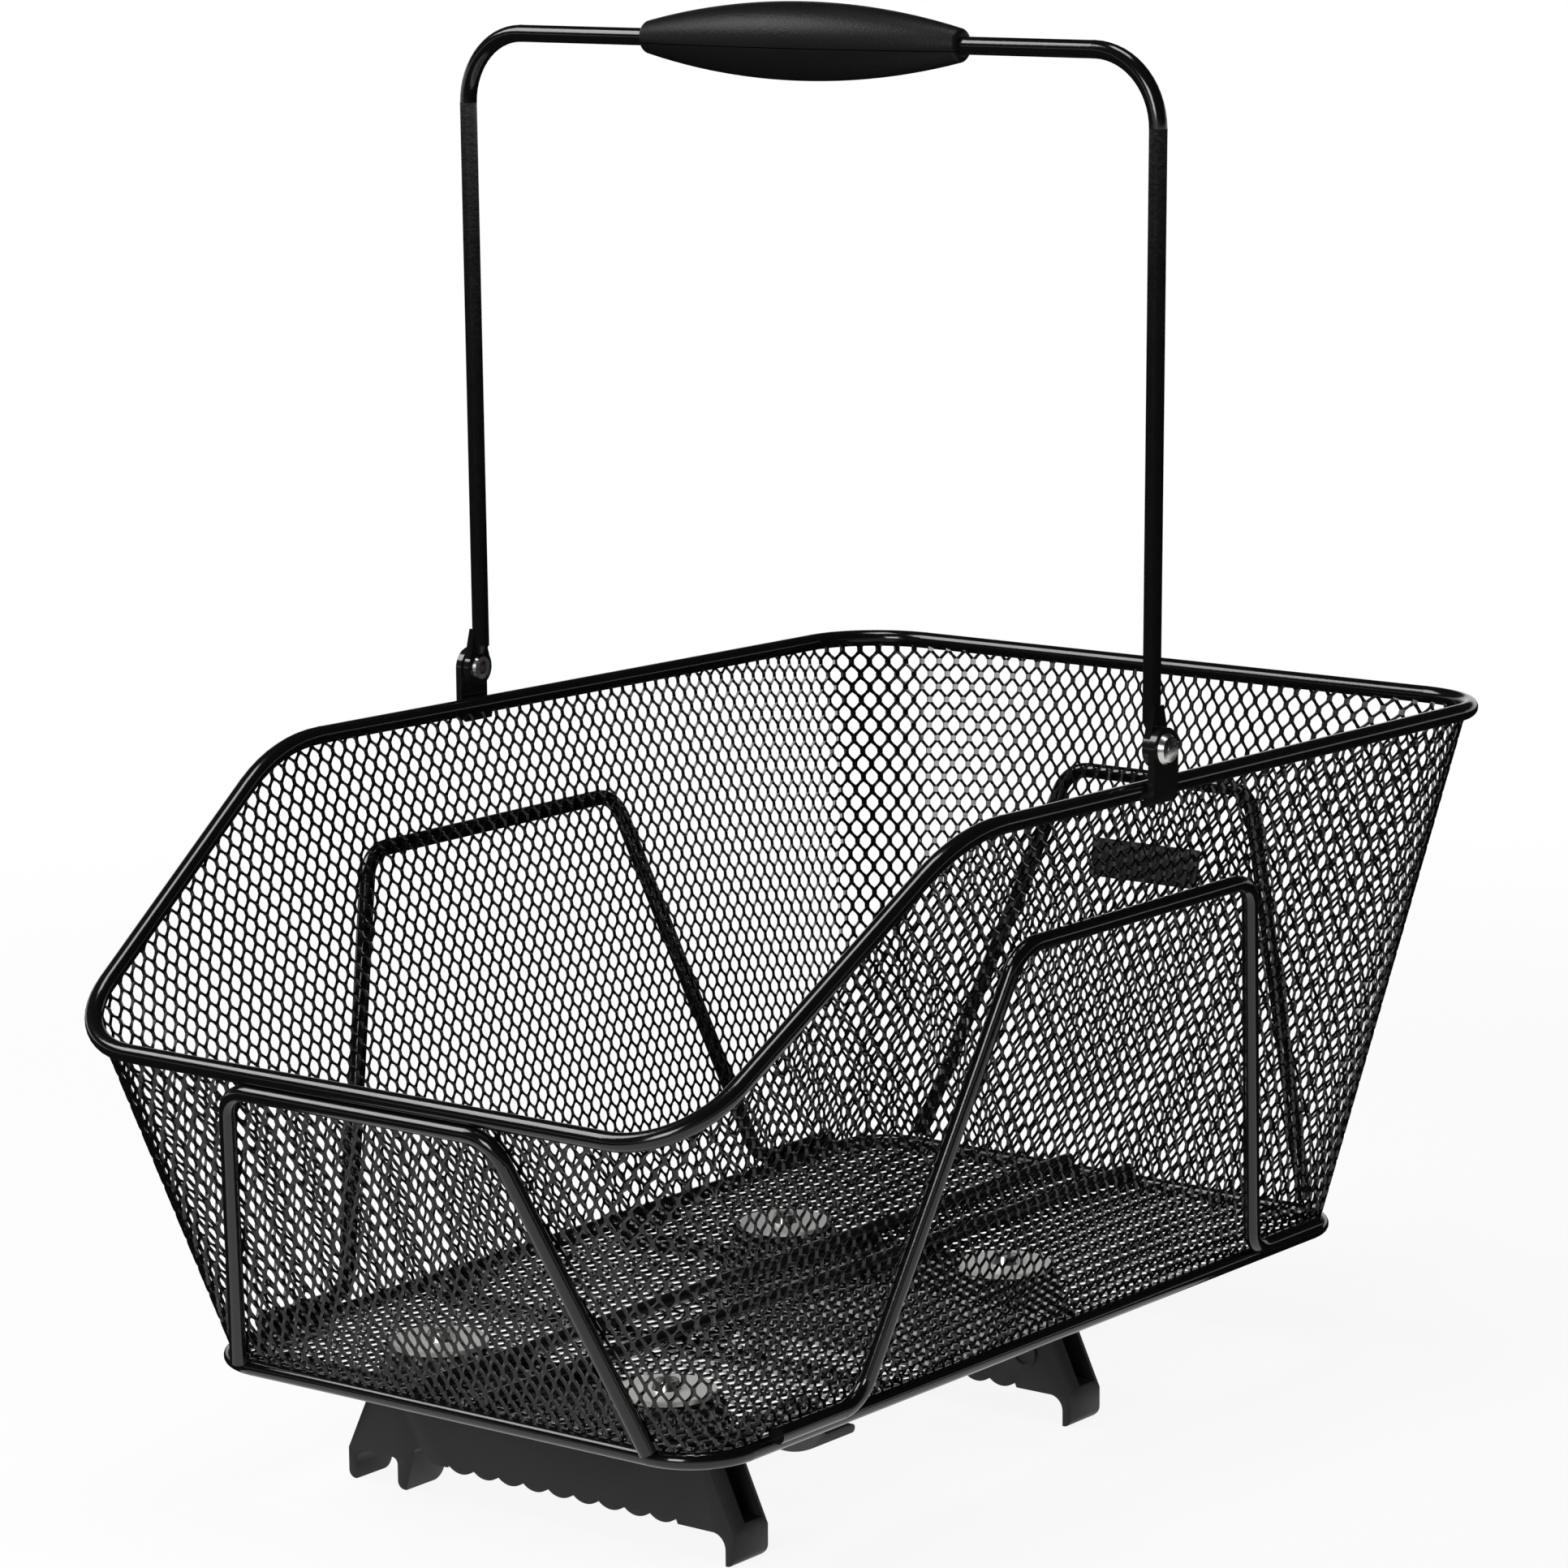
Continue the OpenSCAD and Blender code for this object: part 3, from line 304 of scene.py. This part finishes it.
# expanded metal in millimetres and degrees: all strands are ribbons turned out of the sheet,
# so that they face to the right seen from outside
wallSheet = {
    "columns": 220, "rise": 8.5, "bond": 0.98, "strand": 0.5, "bondWidth": 1.0,
    "thickness": 0.8, "turn": 36, "leaf": (0.62, 0.61), "waist": 0.24, "fullTurn": 0.7,
    "inset": 1.2, "spareRows": (8, 14), "bendSteps": 24, "flatSteps": 60, "kneeSteps": 40,
}


def wallRulings(sheet):  # the straight lines from the ring up to the rim, once round the basket
    ring, low, knee, high = corners()
    footBend, headBend = basket["baseCorner"], basket["rimCorner"]
    frontFoot, frontHead = bend(*ring[0:3], footBend), bend(low[0], low[1], knee[1], headBend)
    rearFoot, rearHead = bend(*ring[1:4], footBend), bend(knee[1], high[1], high[0], headBend)
    kneeCurve, kneeSteps = bend(low[1], knee[1], high[1], basket["kneeBend"]), sheet["kneeSteps"]
    kneeLine = [kneeCurve(k / kneeSteps) for k in range(kneeSteps + 1)]
    rimLine = np.array([frontHead(1)] + kneeLine + [rearHead(0)])

    def straight(footA, leanA, footB, leanB, top, fan=lambda share: share):
        for share in np.linspace(0, 1, sheet["flatSteps"], endpoint=False):
            foot = footA + (footB - footA) * share
            lean = leanA + (leanB - leanA) * fan(share)
            yield foot, lean, top(foot, lean)

    def turned(footCurve, headCurve):
        for share in np.linspace(0, 1, sheet["bendSteps"], endpoint=False):
            foot, head = footCurve(share), headCurve(share)
            yield foot, (head - foot) / head[2], head[2]

    def leanAt(footCurve, headCurve, share):
        return (headCurve(share) - footCurve(share)) / headCurve(share)[2]

    def sideTop(foot, lean):  # where a side's ruling meets the rim
        past = rimLine[:, 1] - (foot[1] + lean[1] * rimLine[:, 2])
        at = int(np.argmax(past > 0))
        if past[0] > 0 or not (past > 0).any():
            return rimLine[0 if past[0] > 0 else -1, 2]
        part = past[at - 1] / (past[at - 1] - past[at])
        return rimLine[at - 1, 2] + part * (rimLine[at, 2] - rimLine[at - 1, 2])

    middle = np.array([0, 1, 1])
    frontLean, rearLean = leanAt(frontFoot, frontHead, 0), leanAt(rearFoot, rearHead, 1)
    rearStop = rearFoot(1) * middle
    half = list(straight(
        frontFoot(0) * middle, frontLean * middle, frontFoot(0), frontLean,
        lambda foot, lean: basket["frontHeight"], lambda share: share ** 2))
    half += turned(frontFoot, frontHead)
    sideStart = len(half)
    half += straight(
        frontFoot(1), leanAt(frontFoot, frontHead, 1),
        rearFoot(0), leanAt(rearFoot, rearHead, 0), sideTop)
    sideStop = len(half)
    half += turned(rearFoot, rearHead)
    half += straight(
        rearFoot(1), rearLean, rearStop, rearLean * middle,
        lambda foot, lean: basket["rearHeight"], lambda share: 1 - (1 - share) ** 2)
    half.append((rearStop, rearLean * middle, basket["rearHeight"]))
    flip = np.array([-1, 1, 1])
    otherHalf = [(foot * flip, lean * flip, top) for foot, lean, top in half[-2:0:-1]]
    whole = half + otherHalf + [half[0]]
    foot, lean, top = (np.array([ruling[k] for ruling in whole]) for k in range(3))
    step = np.linalg.norm(np.diff(foot, axis=0), axis=1)
    along = np.concatenate([[0], np.cumsum(step)])
    tangent = np.gradient(foot, along, axis=0)
    tangent /= np.linalg.norm(tangent, axis=1, keepdims=True)
    sideways = (lean * tangent).sum(1)  # rows stay square to the fanned columns
    sag = -np.concatenate([[0], np.cumsum((sideways[1:] + sideways[:-1]) / 2 * step)])
    return {"foot": foot, "lean": lean, "top": top, "along": along, "sag": sag,
            "tangent": tangent, "side": (along[sideStart], along[sideStop])}


def cellShape(pitch, sheet):  # a cell of the sheet and the leaf-shaped gap in it
    step, side = sheet["rise"] / 2, sheet["bond"]
    tip = step - side
    slant = math.hypot(pitch / 2, tip - side)
    gapTip = tip - sheet["strand"] * slant / pitch
    gapHalf = (pitch - sheet["bondWidth"]) / 2
    across, along = sheet["leaf"]
    tileRight = [(pitch / 4, (tip + side) / 2), (pitch / 2, side)]
    gapRight = [(gapHalf * across, gapTip * along), (gapHalf, gapTip * sheet["waist"])]

    def ring(top, right):  # anticlockwise from the top
        left = [(-x, y) for x, y in right]
        return np.array([(0, top)] + left + [(x, -y) for x, y in left[::-1]]
                        + [(0, -top)] + [(x, -y) for x, y in right] + right[::-1])
    reach = sheet["bondWidth"] / 2 * math.tan(math.radians(sheet["turn"]))
    gap = ring(gapTip, gapRight)
    twist = reach * np.clip(gap[:, 0] / (sheet["fullTurn"] * gapHalf), -1, 1)
    return {"tile": ring(tip, tileRight), "gap": gap, "twist": twist, "step": step}


def staggered(columns, rows, pitch, step):  # every other row stands half a pitch aside
    column, row = np.meshgrid(columns, rows, indexing="ij")
    return np.stack([(column + 0.5 * (row % 2)) * pitch, row * step], -1).reshape(-1, 2)


def turnedOut(sheet, side, twist, held):
    # the sheet's thickness runs along the ribbons' own turned direction
    turn, half = math.radians(sheet["turn"]), side * sheet["thickness"] / 2
    across = np.where(held, 0, half * math.sin(turn))
    return across, np.where(held, 0, half * math.cos(turn) + twist)


smallFace = 0.002  # square millimetres
ribbonAngle = math.radians(25)


def netObject(name, cell, middles, lift):
    # a strand's outer face runs from its middle line, the tile, to the gap's edge
    spots = middles[:, None, :]
    tiles, gaps = spots + cell["tile"], spots + cell["gap"]
    count, around = tiles.shape[:2]
    flat, twist = np.zeros((count, around)), cell["twist"][None].repeat(count, 0)
    levels = [lift(tiles, 1, flat), lift(gaps, 1, twist),
              lift(gaps, -1, twist), lift(tiles, -1, flat)]
    points = np.concatenate([level.reshape(-1, 3) for level in levels])
    total = count * around
    here = np.arange(count)[:, None] * around + np.arange(around)
    there = np.arange(count)[:, None] * around + (np.arange(around) + 1) % around
    faces = np.concatenate([
        np.stack([here + total * level, there + total * level,
                  there + total * (level + 1), here + total * (level + 1)], -1).reshape(-1, 4)
        for level in range(len(levels) - 1)])
    keys = np.round(points / (mm * weldReach)).astype(np.int64)
    _, first, where = np.unique(keys, axis=0, return_index=True, return_inverse=True)
    points, faces = points[first], where.reshape(-1)[faces]
    corner = points[faces] / mm
    crossed = np.cross(corner[:, 2] - corner[:, 0], corner[:, 3] - corner[:, 1])
    area = np.linalg.norm(crossed, axis=1) / 2
    polygons = []
    for quad in faces[area > smallFace].tolist():
        clean = [v for i, v in enumerate(quad) if v != quad[i - 1]]
        if len(clean) >= 3 and len(set(clean)) == len(clean):
            polygons.append(clean)
    used, where = np.unique(np.concatenate([np.array(p) for p in polygons]), return_inverse=True)
    starts = np.cumsum([0] + [len(p) for p in polygons])
    polygons = [where[a:b].tolist() for a, b in zip(starts[:-1], starts[1:])]
    mesh = bpy.data.meshes.new(name)
    mesh.from_pydata(points[used].tolist(), [], polygons)
    mesh.validate()  # drops faces that fall together where the sheet is held
    smooth(mesh, ribbonAngle)
    mesh.materials.append(coatOnMesh)
    piece = linked(name, mesh)
    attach(piece, "basket")
    print(name, len(polygons), "faces")
    return piece


def wallNets(sheet):
    rulings = wallRulings(sheet)
    around = rulings["along"][-1]
    pitch = around / sheet["columns"]
    cell = cellShape(pitch, sheet)
    below, above = sheet["spareRows"]  # the rows sag and rise round the basket
    rows = np.arange(-below, int(basket["kneeHeight"] / cell["step"]) + above)
    middles = staggered(np.arange(sheet["columns"]), rows, pitch, cell["step"])

    def ruling(name, s):
        table, s = rulings[name], s % around
        if table.ndim == 1:
            return np.interp(s, rulings["along"], table)
        return np.stack([np.interp(s, rulings["along"], column) for column in table.T], -1)

    def heights(flat):
        return flat[..., 1] + ruling("sag", flat[..., 0]), ruling("top", flat[..., 0])
    z, top = heights(middles[:, None, :] + cell["tile"])
    middles = middles[((z > 0) & (z < top)).any(1)]

    def lift(flat, side, twist):
        z, top = heights(flat)
        across, rise = turnedOut(sheet, side, twist, (z <= 0) | (z >= top))
        s, z = flat[..., 0] + across, np.clip(z, 0, top)
        foot, lean = ruling("foot", s), ruling("lean", s)
        outward = np.cross(ruling("tangent", s), lean)
        outward /= np.linalg.norm(outward, axis=-1, keepdims=True)
        return placed(foot + lean * z[..., None] + outward * (rise - sheet["inset"])[..., None])
    start, stop = rulings["side"]
    s = middles[:, 0] % around
    onRight = (s >= start) & (s < stop)
    onLeft = (s >= around - stop) & (s < around - start)
    onRear = (s >= stop) & (s < around - stop)
    onFront = ~(onRight | onLeft | onRear)
    sides = {
        "right_net": (onRight, ["right_mesh"]),
        "left_net": (onLeft, ["left_mesh"]),
        "rear_net": (onRear, ["rear_mesh", "rear_left_corner_mesh", "rear_right_corner_mesh"]),
        "front_net": (onFront, ["front_mesh", "front_left_corner_mesh", "front_right_corner_mesh"]),
    }
    for name, (chosen, stood) in sides.items():
        net = netObject(name, cell, middles[chosen], lift)
        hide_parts(*stood)


wallNets(wallSheet)

# the floor's long way lies across the basket, and its ribbons face the high end
floorSheet = dict(wallSheet, pitch=5.2, turn=-36)
floorLow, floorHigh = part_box("floor_mesh")


def floorNet(sheet):
    pitch = sheet["pitch"]
    cell = cellShape(pitch, sheet)
    half = np.array([basket["length"] / 2, basket["width"] / 2])
    level = ((floorLow.z + floorHigh.z) / 2 - basketMiddle.z) / mm
    columns, rows = int(half[0] / pitch) + 2, int(half[1] / cell["step"]) + 2
    middles = staggered(
        np.arange(-columns, columns), np.arange(-rows, rows), pitch, cell["step"])
    corner = basket["baseCorner"]

    def pulledIn(flat):  # points past the ring come back to its centre line
        inner = half - corner
        over = np.maximum(np.abs(flat) - inner, 0)
        reach = np.linalg.norm(over, axis=-1)
        held = reach >= corner
        scale = corner / np.maximum(reach, corner)
        core = np.minimum(np.abs(flat), inner)
        return np.sign(flat) * (core + over * scale[..., None]), held
    middles = middles[~pulledIn(middles[:, None, :] + cell["tile"])[1].all(1)]

    def lift(flat, side, twist):
        spot, held = pulledIn(flat)
        across, rise = turnedOut(sheet, side, twist, held)
        return placed(np.stack([spot[..., 1], -spot[..., 0] - across, level + rise], -1))
    net = netObject("floor_net", cell, middles, lift)
    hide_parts("floor_mesh")


floorNet(floorSheet)

photo = {"pixels": 1932, "focal": 6768.9, "sensor": 36.0, "clipEnd": 100}
# place in millimetres from the middle of the base ring, angles in degrees
view = {
    "place": (997.47, -1303.91, 455.39),
    "azimuth": 37.537, "elevation": 10.297, "roll": -0.4126,
}


def makeCamera():
    azimuth, elevation = math.radians(view["azimuth"]), math.radians(view["elevation"])
    back = Vector((math.sin(azimuth) * math.cos(elevation),
                   -math.cos(azimuth) * math.cos(elevation), math.sin(elevation)))
    right = Vector((math.cos(azimuth), math.sin(azimuth), 0))
    up = back.cross(right)
    roll = math.radians(view["roll"])
    right, up = (math.cos(roll) * right + math.sin(roll) * up,
                 math.cos(roll) * up - math.sin(roll) * right)
    data = bpy.data.cameras.new("photo_camera")
    data.sensor_width = photo["sensor"]
    data.lens = photo["focal"] / photo["pixels"] * photo["sensor"]
    data.clip_end = photo["clipEnd"]
    camera = linked("photo_camera", data)
    turn = Matrix((right, up, back)).transposed()
    camera.matrix_world = Matrix.Translation(Vector(placed(view["place"]))) @ turn.to_4x4()
    bpy.context.scene.camera = camera


makeCamera()


def turnsOf(steps):
    return [2 * math.pi * k / steps for k in range(steps)]


def oval(steps, wide, deep, level, middle=(0, 0)):
    return [(middle[0] + wide * math.cos(turn), middle[1] + deep * math.sin(turn), level)
            for turn in turnsOf(steps)]


def band(steps):  # the faces between two rings of points
    return [(k, (k + 1) % steps, steps + (k + 1) % steps, steps + k) for k in range(steps)]


def plainMesh(name, points, faces):
    mesh = bpy.data.meshes.new(name)
    mesh.from_pydata(points, [], faces)
    return mesh


def stageObject(mesh, material):
    mesh.materials.append(material)
    piece = linked(mesh.name, mesh)
    return piece


# a pale floor that turns white further out and ends at a white wall, all in metres
studio = {
    "reach": 30, "steps": 96, "nearFloor": 0.5, "farFloor": 1.1, "glow": 0.9,
    "floorLow": 0.92, "floorHigh": 0.94, "cloudScale": 2, "floorRough": 0.9, "floorSpecular": 0.1,
    "wall": 1.5, "tallWall": 8, "dome": 20, "domeSteps": (48, 24), "white": 1.0, "world": 0.02,
}
floorRim = oval(studio["steps"], studio["reach"], studio["reach"], groundLevel)


def makeFloor():
    material, tree = newMaterial("pale_floor")
    where = tree.coords()
    cloud = tree.noise(where, studio["cloudScale"])
    paint = tree.add("ShaderNodeBsdfPrincipled", {
        "Base Color": tree.blend(cloud, grey(studio["floorLow"]), grey(studio["floorHigh"])),
        "Roughness": studio["floorRough"], "Specular IOR Level": studio["floorSpecular"]})
    white = tree.add("ShaderNodeEmission", {"Strength": studio["white"]})
    away = tree.add("ShaderNodeVectorMath", {0: where}, {"operation": "LENGTH"}, "Value")
    far = tree.add(
        "ShaderNodeMapRange",
        {"Value": away, "From Min": studio["nearFloor"], "From Max": studio["farFloor"]},
        {"interpolation_type": "SMOOTHSTEP"})
    top = tree.mixed(studio["glow"] + (1 - studio["glow"]) * far, paint, white)
    fromBelow = tree.add("ShaderNodeNewGeometry", output="Backfacing")
    clear = tree.add("ShaderNodeBsdfTransparent")
    tree.close(tree.mixed(fromBelow, top, clear))
    material.cycles.emission_sampling = "NONE"  # seen and mirrored, but not used as a lamp
    faces = [tuple(range(studio["steps"]))]
    stageObject(plainMesh("studio_floor", floorRim, faces), material)


def makeBackdrop():
    material, tree = newMaterial("white_backdrop")
    tree.close(tree.add("ShaderNodeEmission", {"Strength": studio["white"]}))
    material.cycles.emission_sampling = "NONE"
    ahead = math.radians(view["azimuth"]) + math.pi / 2  # the side that the camera looks at

    def wallTop(turn):
        share = max(0.0, math.cos(turn - ahead))
        return studio["wall"] + (studio["tallWall"] - studio["wall"]) * share
    tops = [(x, y, wallTop(turn)) for (x, y, _), turn in zip(floorRim, turnsOf(studio["steps"]))]
    stageObject(plainMesh("studio_backdrop", floorRim + tops, band(studio["steps"])), material)
    mesh = bpy.data.meshes.new("studio_dome")  # white all round, which only the camera sees
    shell = bmesh.new()
    around, upward = studio["domeSteps"]
    bmesh.ops.create_uvsphere(
        shell, u_segments=around, v_segments=upward, radius=studio["dome"])
    shell.to_mesh(mesh)
    shell.free()
    dome = stageObject(mesh, material)
    dome.visible_diffuse = dome.visible_glossy = dome.visible_shadow = False


makeFloor()
makeBackdrop()

# a dark card on the floor that only the gloss sees, open beside the low end and the right side
card = {
    "reach": 8, "middle": (0.28, -0.28), "open": (0.42, 0.46), "lift": 0.0005, "steps": 64,
    "colour": 0.01, "pale": 0.015, "cloudScale": 6,
}


def makeCard():
    material, tree = newMaterial("dark_card")
    cloud = tree.noise(tree.coords(), card["cloudScale"])
    colour = tree.blend(cloud, grey(card["colour"]), grey(card["pale"]))
    tree.close(tree.add("ShaderNodeBsdfDiffuse", {"Color": colour}))
    steps, level = card["steps"], groundLevel + card["lift"]
    points = oval(steps, card["reach"], card["reach"], level)
    points += oval(steps, *card["open"], level, card["middle"])
    piece = stageObject(plainMesh("dark_card", points, band(steps)), material)
    piece.visible_camera = piece.visible_diffuse = piece.visible_shadow = False


makeCard()


def makeWorld():
    world = bpy.data.worlds.new("dim_studio")
    world.use_nodes = True
    bpy.context.scene.world = world
    tree = Tree(world.node_tree)
    light = tree.add("ShaderNodeBackground", {"Color": grey(studio["world"]), "Strength": 1.0})
    tree.add("ShaderNodeOutputWorld", {"Surface": light})


makeWorld()

# softboxes: turn from the low end towards the right, height angle, distance, side and brightness
lamps = {
    "key": {"turn": 12, "up": 20, "away": 2.5, "size": 0.9, "bright": 11},
    "top": {"turn": 0, "up": 88, "away": 2.2, "size": 0.8, "bright": 8},
    "left": {"turn": -56, "up": 43, "away": 2.5, "size": 1.2, "bright": 8},
}


def makeLamps():
    target = Vector((0, 0, (cadBox[0][2] + cadBox[1][2]) / 3))  # a third of the way up
    for name, lamp in lamps.items():
        turn, up = math.radians(lamp["turn"]), math.radians(lamp["up"])
        way = Vector((math.sin(turn) * math.cos(up), -math.cos(turn) * math.cos(up), math.sin(up)))
        data = bpy.data.lights.new(name + "_softbox", "AREA")
        data.shape, data.size = "SQUARE", lamp["size"]
        data.energy = math.pi * lamp["size"] ** 2 * lamp["bright"]  # watts for that brightness
        light = linked(name + "_softbox", data)
        light.location = target + way * lamp["away"]
        light.rotation_euler = way.to_track_quat("Z", "Y").to_euler()


makeLamps()
bpy.context.scene.view_settings.view_transform = "Standard"
print("camera, floor and light set")
